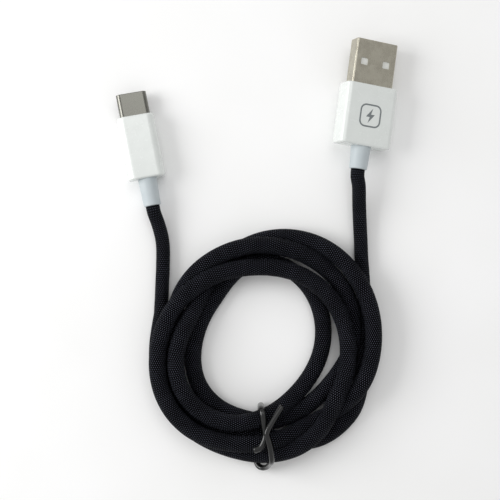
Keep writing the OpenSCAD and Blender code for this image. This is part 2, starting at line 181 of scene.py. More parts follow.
# How the turns settle
SETTLE_STEP = 2.0       # spacing of the cord's points while they settle
SETTLE_ROUNDS = 260
NEIGHBOURS = 6          # points nearer than this along the cord don't push each other
PUSH = 0.45             # share of an overlap by which each of two strands gives way
EVEN_OUT = 0.35         # how strongly the cord evens out its own bends
KEEP_PLACE = 0.02       # pull back to where a strand was laid, and to its height there
KEEP_HEIGHT = 0.004
TOP = 6.9               # highest that the middle of a strand may lie
TIE_AT, TIE_REACH = -1.3, 4.0       # where the tie passes, and how wide its effect is
TIE_LIFT, TIE_PRESS = 1.0, 0.35     # how far it lifts the lowest and presses the highest
SETTLED_GAP = 0.985     # strands settle this share of their thickness apart
EASE_POINTS = 6         # points over which the fixed leads pass into the loose turns
CORD_STEP = 1.0         # spacing of the finished cord's points
SLEEVE_GROWS = 20.0     # length over which the sleeve fills out between lead and coil
CURVE_STEPS = 12        # points worked out between each two given ones


def smooth_line(points, spacing):
    """Points at an even spacing on a Catmull-Rom curve through the given ones."""
    points = np.asarray(points, float)
    before = 2 * points[0] - points[1]
    after = 2 * points[-1] - points[-2]
    padded = np.vstack([before, points, after])
    fine = []
    for i in range(1, len(padded) - 2):
        p0, p1, p2, p3 = padded[i - 1:i + 3]
        for t in np.linspace(0, 1, CURVE_STEPS, endpoint=False):
            fine.append(0.5 * (2 * p1 + (p2 - p0) * t + (2 * p0 - 5 * p1 + 4 * p2 - p3) * t ** 2
                               + (3 * p1 - p0 - 3 * p2 + p3) * t ** 3))
    fine.append(points[-1])
    fine = np.array(fine)
    along = np.concatenate([[0], np.cumsum(np.linalg.norm(np.diff(fine, axis=0), axis=1))])
    count = max(2, int(round(along[-1] / spacing)) + 1)
    even = np.linspace(0, along[-1], count)
    return np.column_stack([np.interp(even, along, fine[:, k]) for k in range(3)])


def wound_turns():
    """The coil's turns at even steps of angle, worked out from where each turn lies."""
    knots = [(360 * k + a, r, z) for k, turn in enumerate(TURNS) for a, r, z in turn]
    angles, radii, heights = np.array(knots).T
    turned = np.arange(FIRST_ANGLE, LAST_ANGLE, ANGLE_STEP)
    r = np.interp(turned, angles, radii)
    z = np.interp(turned, angles, heights)
    for _ in range(EASING_ROUNDS):
        r[1:-1] = (r[:-2] + 2 * r[1:-1] + r[2:]) / 4
        z[1:-1] = (z[:-2] + 2 * z[1:-1] + z[2:]) / 4
    r = MID_R + (r - MID_R) * DRAWN_IN
    a = np.radians(turned)
    return np.column_stack([COIL_POS[0] + r * np.cos(a), COIL_POS[1] + r * np.sin(a), z])


def settle(points, free, cord_d):
    """Lets the turns push each other apart, rest on the table and lie under the tie."""
    wanted = points.copy()
    first, second = np.triu_indices(len(points), k=NEIGHBOURS)
    for _ in range(SETTLE_ROUNDS):
        gap = points[first] - points[second]
        distance = np.linalg.norm(gap, axis=1)
        near = distance < cord_d
        push = gap[near] / distance[near, None] * (cord_d - distance[near, None]) * PUSH
        move = np.zeros_like(points)
        np.add.at(move, first[near], push)
        np.add.at(move, second[near], -push)
        bend = np.zeros_like(points)
        bend[1:-1] = (points[:-2] + points[2:]) / 2 - points[1:-1]
        bend[2:-2] -= (bend[1:-3] + bend[3:-1]) / 2
        move[2:-2] += EVEN_OUT * bend[2:-2]
        move[:, :2] += KEEP_PLACE * (wanted - points)[:, :2]
        move[:, 2] += KEEP_HEIGHT * (wanted - points)[:, 2]
        points = points + move * free[:, None]
        x, y = points[:, 0] - COIL_POS[0], points[:, 1] - COIL_POS[1]
        by_tie = np.exp(-((x - TIE_AT) / TIE_REACH) ** 2) * (y < 0)
        floor = cord_d / 2 + TIE_LIFT * by_tie
        ceiling = TOP - TIE_PRESS * by_tie
        lifted = np.clip(points[:, 2], floor, ceiling)
        points[:, 2] = np.where(free > 0.5, lifted, points[:, 2])
    return points


def whole_cord():
    """Centreline of the whole cord in millimetres, and where its lead ends and begins."""
    lead_a, lead_c = lead_routes()
    start = smooth_line(lead_c, SETTLE_STEP)
    end = smooth_line(lead_a[::-1], SETTLE_STEP)
    route = smooth_line(np.vstack([lead_c, wound_turns(), lead_a[::-1]]), SETTLE_STEP)
    free = np.ones(len(route))
    free[:len(start)] = 0
    free[-len(end):] = 0
    loosening = np.linspace(0.1, 0.9, EASE_POINTS)
    free[len(start):len(start) + EASE_POINTS] = loosening
    free[-len(end) - EASE_POINTS:-len(end)] = loosening[::-1]
    settled = settle(route, free, COIL_D * SETTLED_GAP)
    return smooth_line(settled, CORD_STEP), len(start) * SETTLE_STEP, len(end) * SETTLE_STEP


def turning_frames(path):
    """Two directions square to the path at each point, carried along it without twist."""
    along = np.gradient(path, axis=0)
    along /= np.linalg.norm(along, axis=1)[:, None]
    side = np.cross(along[0], (0, 0, 1.0))
    sides = []
    for t in along:
        side = side - (side @ t) * t
        side = side / np.linalg.norm(side)
        sides.append(side)
    sides = np.array(sides)
    return sides, np.cross(along, sides)


def level_frames(path):
    """As turning_frames, with the first direction level all along the path."""
    along = np.gradient(path, axis=0)
    along /= np.linalg.norm(along, axis=1)[:, None]
    sides = np.cross(along, (0, 0, 1.0))
    sides /= np.linalg.norm(sides, axis=1)[:, None]
    return sides, np.cross(along, sides)


def tube_mesh(name, path, sides, ups, half_w, half_h, around, v_start):
    """A closed tube round a path, with u once round it and v along it in millimetres."""
    count = len(path)
    angles = np.linspace(0, 2 * math.pi, around, endpoint=False)
    ring = (np.cos(angles)[None, :, None] * half_w[:, None, None] * sides[:, None, :]
            + np.sin(angles)[None, :, None] * half_h[:, None, None] * ups[:, None, :])
    points = ((path[:, None, :] + ring) * MM).reshape(-1, 3)
    faces = []
    for i in range(count - 1):
        for k in range(around):
            m = (k + 1) % around
            a, b = i * around, (i + 1) * around
            faces.append((a + k, a + m, b + m, b + k))
    faces.append(tuple(range(around - 1, -1, -1)))
    last = (count - 1) * around
    faces.append(tuple(range(last, last + around)))
    mesh = bpy.data.meshes.new(name)
    mesh.from_pydata(points.tolist(), [], faces)
    steps = np.linalg.norm(np.diff(path, axis=0), axis=1)
    v = v_start + np.concatenate([[0], np.cumsum(steps)])
    uv = mesh.uv_layers.new(name="braid")
    for face in mesh.polygons:
        for loop in face.loop_indices:
            vertex = mesh.loops[loop].vertex_index
            k = vertex % around
            u = k / around
            if face.index < (count - 1) * around and k == 0 and face.index % around == around - 1:
                u = 1.0
            uv.data[loop].uv = (u, v[vertex // around])
    mesh.polygons.foreach_set("use_smooth", [True] * len(mesh.polygons))
    for face in list(mesh.polygons)[-2:]:
        face.use_smooth = False
    mesh.update()
    piece = bpy.data.objects.new(name, mesh)
    bpy.context.scene.collection.objects.link(piece)
    return piece


SLEEVE_SIDES = 24
LEAD_C_PIECE = 42.0     # cord in each lead's piece, which runs on to the next whole step
LEAD_A_PIECE = 48.0


def make_cord():
    """The braided cord in three pieces that follow each other: lead, coil and lead."""
    path, c_len, a_len = whole_cord()
    steps = np.linalg.norm(np.diff(path, axis=0), axis=1)
    run = np.concatenate([[0], np.cumsum(steps)])
    total = run[-1]
    after_lead_c = np.clip((run - c_len) / SLEEVE_GROWS, 0, 1)
    before_lead_a = np.clip((total - a_len - run) / SLEEVE_GROWS, 0, 1)
    grown = after_lead_c * before_lead_a
    tall = (LEAD_D + (COIL_D - LEAD_D) * grown) / 2
    wide = (LEAD_D + (COIL_W - LEAD_D) * grown) / 2
    sides, ups = level_frames(path)
    c_cut = int(np.searchsorted(run, LEAD_C_PIECE))
    a_cut = int(np.searchsorted(run, total - LEAD_A_PIECE))
    made = {}
    for name, lo, hi in (
        ("braided_lead_usb_c", 0, c_cut),
        ("braided_coil", c_cut, a_cut),
        ("braided_lead_usb_a", a_cut, len(path) - 1),
    ):
        part = slice(lo, hi + 1)
        piece = tube_mesh(name, path[part], sides[part], ups[part], wide[part], tall[part],
                          SLEEVE_SIDES, run[lo])
        made[name] = (piece, path[part] * MM, (run[hi] - run[lo]) * MM)
    return made


cords = make_cord()


# ---- modelling by operators ----

def activate(piece):
    bpy.ops.object.select_all(action="DESELECT")
    piece.select_set(True)
    bpy.context.view_layer.objects.active = piece


def named(name):
    """The primitive that was just added, under its own name, with its size in its mesh."""
    piece = bpy.context.active_object
    piece.name = name
    piece.data.name = name
    activate(piece)
    bpy.ops.object.transform_apply(location=True, rotation=True, scale=True)
    return piece


def add_block(name, size, centre):
    bpy.ops.object.select_all(action="DESELECT")
    bpy.ops.mesh.primitive_cube_add(size=1, location=Vector(centre) * MM)
    bpy.context.active_object.scale = Vector(size) * MM
    return named(name)


def add_rod(name, radius_back, radius_front, start, length, sides=64):
    """A round bar or cone along +Y from start."""
    bpy.ops.object.select_all(action="DESELECT")
    bpy.ops.mesh.primitive_cone_add(
        vertices=sides, radius1=radius_back * MM, radius2=radius_front * MM, depth=length * MM,
        location=(0, (start + length / 2) * MM, 0), rotation=(-math.pi / 2, 0, 0))
    return named(name)


def edit_edges(piece, test):
    """Opens the piece in edit mode with only the edges that pass the test selected."""
    activate(piece)
    bpy.ops.object.mode_set(mode="EDIT")
    bpy.ops.mesh.select_mode(type="EDGE")
    bpy.ops.mesh.select_all(action="DESELECT")
    shape = bmesh.from_edit_mesh(piece.data)
    for edge in shape.edges:
        if test(*[v.co / MM for v in edge.verts]):
            edge.select_set(True)
    bmesh.update_edit_mesh(piece.data)


def edit_faces(piece, test):
    """Opens the piece in edit mode with only the faces that pass the test selected."""
    activate(piece)
    bpy.ops.object.mode_set(mode="EDIT")
    bpy.ops.mesh.select_mode(type="FACE")
    bpy.ops.mesh.select_all(action="DESELECT")
    shape = bmesh.from_edit_mesh(piece.data)
    for face in shape.faces:
        if test(face.calc_center_median() / MM, face.normal):
            face.select_set(True)
    bmesh.update_edit_mesh(piece.data)


def close_edit():
    bpy.ops.object.mode_set(mode="OBJECT")


def round_long_edges(piece, radius, segments):
    """Rounds the four edges that run along the plug."""
    edit_edges(piece, lambda a, b: abs(a.y - b.y) > 1)
    bpy.ops.mesh.bevel(offset=radius * MM, segments=segments, affect="EDGES")
    close_edit()


def round_end_edges(piece, y, radius, segments):
    """Rounds the loop of edges round the end face at y."""
    edit_edges(piece, lambda a, b: abs(a.y - y) < 0.01 and abs(b.y - y) < 0.01)
    bpy.ops.mesh.bevel(offset=radius * MM, segments=segments, affect="EDGES")
    close_edit()


def soft_bar(name, width, thick, corner, start, length, segments=8):
    """A bar along the plug with rounded long edges."""
    piece = add_block(name, (width, length, thick), (0, start + length / 2, 0))
    round_long_edges(piece, corner, segments)
    return piece


def cut(piece, cutter):
    """Takes the cutter's shape out of the piece."""
    difference = piece.modifiers.new("cut", "BOOLEAN")
    difference.operation = "DIFFERENCE"
    difference.solver = "EXACT"
    difference.object = cutter
    activate(piece)
    bpy.ops.object.modifier_apply(modifier=difference.name)
    bpy.data.objects.remove(cutter)


def smooth(piece, angle=35):
    """Shades curved parts smooth and keeps flats flat."""
    activate(piece)
    bpy.ops.object.shade_smooth_by_angle(angle=math.radians(angle), keep_sharp_edges=False)
    weighted = piece.modifiers.new("flats", "WEIGHTED_NORMAL")
    weighted.keep_sharp = True
    bpy.ops.object.modifier_apply(modifier=weighted.name)


def place(piece, plug):
    """Puts a piece that was made along +Y where its plug lies."""
    piece.matrix_world = plug_matrix(plug)
    activate(piece)
    bpy.ops.object.transform_apply(location=True, rotation=True, scale=True)
    return piece


# ---- plugs ----

REACH = 1.0             # how far a cutter stands past the face that it opens
MOUTH_GAP = 0.06        # play of the shell in the housing's mouth
RELIEF_IN = 1.0         # how far the strain relief runs into the housing
RELIEF_BORE = 3.0       # depth of the bore that shows round the cord
RELIEF_RIM = 0.32       # rounding of its free end
WINDOW_W, WINDOW_L, WINDOW_R = 2.1, 1.9, 0.25
WINDOW_X, WINDOW_BACK = 3.18, 6.0       # off the middle, and back from the tip
SEAM_W, SEAM_DEEP = 0.12, 0.6


def make_housing(name, plug, back_r, front_r):
    """Overmoulded housing with its cavity, the cord's hole and the shell's mouth."""
    body = soft_bar(name, plug["width"], plug["thick"], plug["corner"], 0, plug["length"], 10)
    round_end_edges(body, plug["length"], front_r, 5)
    round_end_edges(body, 0, back_r, 5)
    cavity_l = plug["length"] - plug["back"] - FRONT_WALL
    cavity = add_block("cutter", (plug["cavity_w"] + 2 * FIT, cavity_l, plug["cavity_h"] + 2 * FIT),
                       (0, plug["back"] + cavity_l / 2, 0))
    cut(body, cavity)
    cut(body, add_rod("cutter", plug["relief_d"] / 2 + FIT, plug["relief_d"] / 2 + FIT,
                      -REACH, plug["back"] + 2 * REACH))
    mouth = soft_bar("cutter", plug["shell_w"] + MOUTH_GAP, plug["shell_t"] + MOUTH_GAP,
                     plug["shell_r"], plug["length"] - FRONT_WALL - REACH,
                     FRONT_WALL + 2 * REACH)
    cut(body, mouth)
    smooth(body)
    return place(body, plug)


def make_relief(name, plug):
    """Tapered sleeve with a rounded end and a bore for the cord."""
    slope = (plug["relief_end_d"] - plug["relief_d"]) / plug["relief_l"]
    relief = add_rod(name, plug["relief_end_d"] / 2, plug["relief_d"] / 2 - slope * RELIEF_IN / 2,
                     -plug["relief_l"], plug["relief_l"] + RELIEF_IN)
    end = -plug["relief_l"]
    edit_faces(relief, lambda c, n: c.y < end + 0.01 and n.y < -0.9)
    rim = plug["relief_end_d"] / 2 - LEAD_D / 2 - FIT
    bpy.ops.mesh.inset(thickness=rim * MM)
    bpy.ops.mesh.extrude_region_move(TRANSFORM_OT_translate={"value": (0, RELIEF_BORE * MM, 0)})
    close_edit()
    edit_edges(relief, lambda a, b: a.y < end + 0.01 and b.y < end + 0.01
               and math.hypot(a.x, a.z) > plug["relief_end_d"] / 2 - 0.05
               and math.hypot(b.x, b.z) > plug["relief_end_d"] / 2 - 0.05)
    bpy.ops.mesh.bevel(offset=RELIEF_RIM * MM, segments=4, affect="EDGES")
    close_edit()
    smooth(relief)
    return place(relief, plug)


def make_shell(name, plug, tip_r, corner_segments):
    """Drawn steel shell, open at both ends, with its mouth edge turned in a little."""
    length = plug["tip_y"] - plug["shell_y"]
    wall = plug["shell_wall"]
    shell = soft_bar(name, plug["shell_w"], plug["shell_t"], plug["shell_r"],
                     plug["shell_y"], length, corner_segments)
    round_end_edges(shell, plug["tip_y"], tip_r, 4)
    inside_r = max(0.2, plug["shell_r"] - wall)
    cut(shell, soft_bar("cutter", plug["shell_w"] - 2 * wall, plug["shell_t"] - 2 * wall,
                        inside_r, plug["shell_y"] - REACH, length + 2 * REACH, corner_segments))
    return shell


def make_usb_a_shell():
    """USB-A shell with two windows in each broad face and the folded sheet's seam."""
    shell = make_shell("usb_a_drawn_shell", USB_A, 0.22, 5)
    for side in (-1, 1):
        window = add_block("cutter", (WINDOW_W, WINDOW_L, USB_A["shell_t"] + 1.5),
                           (side * WINDOW_X, USB_A["tip_y"] - WINDOW_BACK, 0))
        edit_edges(window, lambda a, b: abs(a.z - b.z) > 1)
        bpy.ops.mesh.bevel(offset=WINDOW_R * MM, segments=3, affect="EDGES")
        close_edit()
        cut(shell, window)
    length = USB_A["tip_y"] - USB_A["shell_y"]
    cut(shell, add_block("cutter", (SEAM_W, length + 2 * REACH, SEAM_DEEP),
                         (0, USB_A["shell_y"] + length / 2, -USB_A["shell_t"] / 2)))
    smooth(shell)
    return place(shell, USB_A)


def make_usb_c_shell():
    """USB-C shell: a plain drawn oval tube."""
    shell = make_shell("usb_c_drawn_shell", USB_C, 0.2, 10)
    smooth(shell)
    return place(shell, USB_C)


housing_a = make_housing("usb_a_moulded_housing", USB_A, 0.6, 0.45)
housing_c = make_housing("usb_c_moulded_housing", USB_C, 0.55, 0.7)
relief_a = make_relief("usb_a_relief_sleeve", USB_A)
relief_c = make_relief("usb_c_relief_sleeve", USB_C)
shell_a = make_usb_a_shell()
shell_c = make_usb_c_shell()


# ---- printed charging mark ----

MARK_Y = 8.1            # from the housing's back face
MARK_SIZE = 6.2
MARK_STROKE = 0.42
MARK_CORNER = 1.7
INK_H = 0.02            # a print is a few hundredths of a millimetre thick
BOLT = [(0.55, 2.0), (-1.25, -0.35), (-0.15, -0.35), (-0.55, -2.0), (1.25, 0.35), (0.15, 0.35)]


def mark_frame():
    """Rounded square outline, printed on the USB-A housing."""
    bpy.ops.object.select_all(action="DESELECT")
    top = USB_A["thick"] / 2
    bpy.ops.mesh.primitive_plane_add(size=MARK_SIZE * MM, location=Vector((0, MARK_Y, top)) * MM)
    outline = named("usb_a_mark_frame")
    bpy.ops.object.mode_set(mode="EDIT")
    bpy.ops.mesh.select_all(action="SELECT")
    bpy.ops.mesh.bevel(offset=MARK_CORNER * MM, segments=10, affect="VERTICES")
    bpy.ops.mesh.select_all(action="SELECT")
    bpy.ops.mesh.inset(thickness=MARK_STROKE * MM)
    bpy.ops.mesh.delete(type="FACE")
    bpy.ops.mesh.select_all(action="SELECT")
    bpy.ops.mesh.extrude_region_move(TRANSFORM_OT_translate={"value": (0, 0, INK_H * MM)})
    bpy.ops.mesh.select_all(action="SELECT")
    bpy.ops.mesh.normals_make_consistent(inside=False)
    close_edit()
    return place(outline, USB_A)


def mark_bolt():
    """Plain lightning bolt inside the outline."""
    curve = bpy.data.curves.new("usb_a_mark_bolt", "CURVE")
    curve.dimensions = "2D"
    curve.fill_mode = "BOTH"
    curve.extrude = INK_H / 2 * MM
    line = curve.splines.new("POLY")
    line.points.add(len(BOLT) - 1)
    for point, (x, y) in zip(line.points, BOLT):
        point.co = (x * MM, (y + MARK_Y) * MM, 0, 1)
    line.use_cyclic_u = True
    flat = bpy.data.objects.new("usb_a_mark_bolt", curve)
    bpy.context.scene.collection.objects.link(flat)
    activate(flat)
    bpy.ops.object.convert(target="MESH")
    bolt = bpy.context.active_object
    bolt.location = (0, 0, (USB_A["thick"] / 2 + INK_H / 2) * MM)
    bpy.ops.object.transform_apply(location=True, rotation=True, scale=True)
    return place(bolt, USB_A)


mark_pieces = [mark_frame(), mark_bolt()]


# ---- twist tie ----

TIE_D = 1.5
TIE_LOW = TIE_D / 2
TIE_STEP = 0.4          # spacing of the points along it
TIE_BROAD, TIE_THIN = 1.14, 0.94        # the coat is a little wider than it is thick
TIE_END = 0.93          # its cut ends are pinched in
TIE_SIDES = 16
TIE_ROUTE = [
    (-3.3, -28.3, 9), (-1.6, -27.6, 9.1), (-0.7, -26.2, 9.05), (-0.2, -24.6, 9),
    (-0.2, -23.2, 9), (-0.5, -21.4, 9.1), (-0.8, -19.4, 9.1), (-1, -18.2, 8.95),
    (-1.3, -17.3, 8), (-1.4, -17.1, 6), (-1.4, -17.1, 3), (-1.4, -17.4, 1.3),
    (-1.4, -18.6, TIE_LOW), (-1.5, -22, TIE_LOW), (-2, -29, TIE_LOW),
    (-2.4, -31.5, TIE_LOW), (-2.5, -33, 1), (-1.9, -34.1, 1.6), (-0.8, -34.4, 2.4),
    (0.3, -33.9, 3.5), (0.9, -32.9, 5.2), (1.3, -32, 7.2), (1.5, -31.1, 8.9),
    (1.4, -29.6, 9.7), (1.1, -27.5, 10.2), (0.5, -25.1, 10.55), (0.1, -23.6, 10.6),
    (0.5, -22.4, 10.5), (1.3, -21, 10.2), (2.4, -19.2, 9.8), (4.3, -16.4, 9.1),
]


def make_tie():
    """Plastic coat of the tie, on the route that its steel core follows."""
    middle = np.array([*COIL_POS, 0.0])
    path = smooth_line(np.array(TIE_ROUTE) + middle, TIE_STEP)
    sides, ups = turning_frames(path)
    half = np.full(len(path), TIE_D / 2)
    half[[0, -1]] *= TIE_END
    return tube_mesh("twist_tie_strip", path, sides, ups, half * TIE_BROAD, half * TIE_THIN,
                     TIE_SIDES, 0.0)


tie = make_tie()


# ---- materials ----

def linear(hex_colour):
    """An sRGB hex colour as linear red, green, blue and a full alpha."""
    parts = [int(hex_colour[i:i + 2], 16) / 255 for i in (1, 3, 5)]
    return [c / 12.92 if c < 0.04045 else ((c + 0.055) / 1.055) ** 2.4 for c in parts] + [1.0]


def add_node(tree, kind, inputs=None, stops=(), **settings):
    """Adds a node with its settings. An input takes a value, a socket, or a node's first output.

    Stops are a colour ramp's places and hex colours.
    """
    made = tree.nodes.new(kind)
    for key, value in settings.items():
        setattr(made, key, value)
    for key, value in (inputs or {}).items():
        if isinstance(value, bpy.types.Node):
            value = value.outputs[0]
        if isinstance(value, bpy.types.NodeSocket):
            tree.links.new(value, made.inputs[key])
        else:
            made.inputs[key].default_value = value
    if stops:
        band = made.color_ramp
        while len(band.elements) < len(stops):
            band.elements.new(0.5)
        for element, (where, colour) in zip(band.elements, stops):
            element.position = where
            element.color = linear(colour)
    return made


def per_mm(size):
    """Scale of a pattern whose features are about this many millimetres across."""
    return 1 / (size * MM)


NOISE_SPAN = {"From Min": 0.3, "From Max": 0.7}     # where most of a noise's values lie


def new_material(name):
    """An empty material, its tree, and the place on the piece that its patterns read."""
    made = bpy.data.materials.new(name)
    made.use_nodes = True
    tree = made.node_tree
    tree.nodes.clear()
    return made, tree, add_node(tree, "ShaderNodeTexCoord").outputs["Object"]


def finish_material(tree, looks):
    """Ends a tree in a Principled shader with these looks."""
    shader = add_node(tree, "ShaderNodeBsdfPrincipled", looks)
    add_node(tree, "ShaderNodeOutputMaterial", {"Surface": shader})


HAZE_MM = 1.2           # size of the patches in which a moulding's gloss varies
COAT_ROUGH = 0.12


def moulded(name, light, dark, roughness, grain_mm, relief_mm, coat=0.0, ior=1.5, cloud_mm=2.5):
    """Moulded plastic: faint cloudy colour, gloss that varies, and the mould's fine grain."""
    made, tree, where = new_material(name)
    cloud = add_node(tree, "ShaderNodeTexNoise", {
        "Vector": where, "Scale": per_mm(cloud_mm), "Detail": 3.0, "Roughness": 0.5})
    tone = add_node(tree, "ShaderNodeValToRGB", {"Fac": cloud}, [(0.3, dark), (0.7, light)])
    haze = add_node(tree, "ShaderNodeTexNoise", {
        "Vector": where, "Scale": per_mm(HAZE_MM), "Detail": 2.0, "Roughness": 0.5})
    gloss = add_node(tree, "ShaderNodeMapRange", {
        "Value": haze, **NOISE_SPAN, "To Min": roughness * 0.85, "To Max": roughness * 1.15})
    skin = add_node(tree, "ShaderNodeTexNoise", {
        "Vector": where, "Scale": per_mm(grain_mm), "Detail": 3.0, "Roughness": 0.5})
    relief = add_node(tree, "ShaderNodeBump", {
        "Height": skin, "Distance": relief_mm * MM, "Strength": 1.0})
    finish_material(tree, {
        "Base Color": tone, "Roughness": gloss, "Normal": relief,
        "IOR": ior, "Coat Weight": coat, "Coat Roughness": COAT_ROUGH})
    return made


LINE_W, LINE_L = 0.12, 6.0      # drawing lines: their spacing and their length
LINE_DEPTH = 0.004


def plated(name, light, dark, roughness, along):
    """Plated metal: a cloudy tone, drawing lines along the plug and a soft gloss."""
    made, tree, where = new_material(name)
    drawn = add_node(tree, "ShaderNodeMapping", {
        "Vector": where, "Rotation": (0, 0, math.radians(-along)),
        "Scale": (per_mm(LINE_W), per_mm(LINE_L), per_mm(LINE_W))})
    lines = add_node(tree, "ShaderNodeTexNoise", {
        "Vector": drawn, "Scale": 1.0, "Detail": 3.0, "Roughness": 0.6})
    cloud = add_node(tree, "ShaderNodeTexNoise", {
        "Vector": where, "Scale": per_mm(3.0), "Detail": 3.0, "Roughness": 0.6})
    much_cloud = add_node(tree, "ShaderNodeMath", {0: cloud, 1: 0.7}, operation="MULTIPLY")
    few_lines = add_node(tree, "ShaderNodeMath", {0: lines, 1: 0.3}, operation="MULTIPLY")
    mixed = add_node(tree, "ShaderNodeMath", {0: much_cloud, 1: few_lines}, operation="ADD")
    tone = add_node(tree, "ShaderNodeValToRGB", {"Fac": mixed}, [(0.35, dark), (0.65, light)])
    gloss = add_node(tree, "ShaderNodeMapRange", {
        "Value": mixed, **NOISE_SPAN, "To Min": roughness * 0.8, "To Max": roughness * 1.25})
    relief = add_node(tree, "ShaderNodeBump", {
        "Height": lines, "Distance": LINE_DEPTH * MM, "Strength": 1.0})
    finish_material(tree, {
        "Base Color": tone, "Roughness": gloss, "Normal": relief, "Metallic": 1.0})
    return made


BRAID_ROUND = 24        # crossings of the braid round the cord
BRAID_PITCH = 0.56      # drawn coarser than the 0.45 that such a braid may have, so that it shows
BRAID_DEPTH = 0.2
YARN_CROWN = 0.45       # how broad and flat a yarn's crown is, the lower the flatter
# tones by yarn height: painted shade in the gaps, the yarns' own near black, and a painted
# highlight on each crown
YARN_TONES_WITH_PAINTED_LIGHT = [(0.5, "#010102"), (0.85, "#040406"), (0.99, "#646774")]
YARN_SPECULAR = 0.03    # far below the usual 0.5, set so that the sleeve stays near black


def braid_height(tree):
    """Height of a diamond braid at a point of the cord: yarns cross over and under."""
    uv = add_node(tree, "ShaderNodeUVMap", uv_map="braid")
    split = add_node(tree, "ShaderNodeSeparateXYZ", {0: uv})
    round_it = add_node(tree, "ShaderNodeMath", {0: split.outputs[0], 1: BRAID_ROUND},
                        operation="MULTIPLY")
    along_it = add_node(tree, "ShaderNodeMath", {0: split.outputs[1], 1: BRAID_PITCH * 2},
                        operation="DIVIDE")
    waves = []
    cells = []
    for way in ("ADD", "SUBTRACT"):
        yarn = add_node(tree, "ShaderNodeMath", {0: round_it, 1: along_it}, operation=way)
        part = add_node(tree, "ShaderNodeMath", {0: yarn}, operation="FRACT")
        turn = add_node(tree, "ShaderNodeMath", {0: part, 1: math.pi}, operation="MULTIPLY")
        waves.append(add_node(tree, "ShaderNodeMath", {0: turn}, operation="SINE"))
        cells.append(add_node(tree, "ShaderNodeMath", {0: yarn}, operation="FLOOR"))
    total = add_node(tree, "ShaderNodeMath", {0: cells[0], 1: cells[1]}, operation="ADD")
    odd = add_node(tree, "ShaderNodeMath", {0: total, 1: 1.0}, operation="PINGPONG")
    tops = []
    for upper, lower in (waves, waves[::-1]):
        crown = add_node(tree, "ShaderNodeMath", {0: upper, 1: YARN_CROWN}, operation="POWER")
        tops.append(add_node(tree, "ShaderNodeMath", {0: crown, 1: lower}, operation="MULTIPLY"))
    return add_node(tree, "ShaderNodeMix", {"Factor": odd, "A": tops[0], "B": tops[1]})


def woven_nylon(name):
    """Woven nylon sleeve: near-black yarns, with a painted highlight on each crossing's crown and
    painted shade in the gaps between yarns.
    """
    made, tree, where = new_material(name)
    height = braid_height(tree)
    # this ramp paints the light: a highlight on each crown and shade in the gaps
    tone = add_node(tree, "ShaderNodeValToRGB", {"Fac": height}, YARN_TONES_WITH_PAINTED_LIGHT)
    wear = add_node(tree, "ShaderNodeTexNoise", {
        "Vector": where, "Scale": per_mm(5.0), "Detail": 2.0, "Roughness": 0.5})
    patch = add_node(tree, "ShaderNodeMapRange", {
        "Value": wear, **NOISE_SPAN, "To Min": 0.75, "To Max": 1.2})
    # sockets 6 and 7 are the mix node's two colours, and output 2 is its colour
    yarn_colour_with_painted_light = add_node(tree, "ShaderNodeMix", {0: 1.0, 6: tone, 7: patch},
                     data_type="RGBA", blend_type="MULTIPLY")
    gloss = add_node(tree, "ShaderNodeMapRange", {
        "Value": height, **NOISE_SPAN, "To Min": 0.62, "To Max": 0.42})
    relief = add_node(tree, "ShaderNodeBump", {
        "Height": height, "Distance": BRAID_DEPTH * MM, "Strength": 1.0})
    finish_material(tree, {
        "Base Color": yarn_colour_with_painted_light.outputs[2], "Roughness": gloss, "Normal": relief,
        "Specular IOR Level": YARN_SPECULAR})
    return made


def solder_mask(name):
    """Green solder mask over copper: paler where tracks run under it."""
    made, tree, where = new_material(name)
    tracks = add_node(tree, "ShaderNodeTexBrick", {
        "Vector": where, "Scale": per_mm(0.9), "Mortar Size": 0.12,
        "Color1": linear("#0d4a22"), "Color2": linear("#0b3f1d"), "Mortar": linear("#2a7a3c")})
    relief = add_node(tree, "ShaderNodeBump", {
        "Height": tracks.outputs["Fac"], "Distance": 0.02 * MM, "Strength": 1.0})
    haze = add_node(tree, "ShaderNodeTexNoise", {
        "Vector": where, "Scale": per_mm(0.5), "Detail": 2.0, "Roughness": 0.5})
    gloss = add_node(tree, "ShaderNodeMapRange", {
        "Value": haze, **NOISE_SPAN, "To Min": 0.2, "To Max": 0.35})
    finish_material(tree, {"Base Color": tracks, "Roughness": gloss, "Normal": relief})
    return made


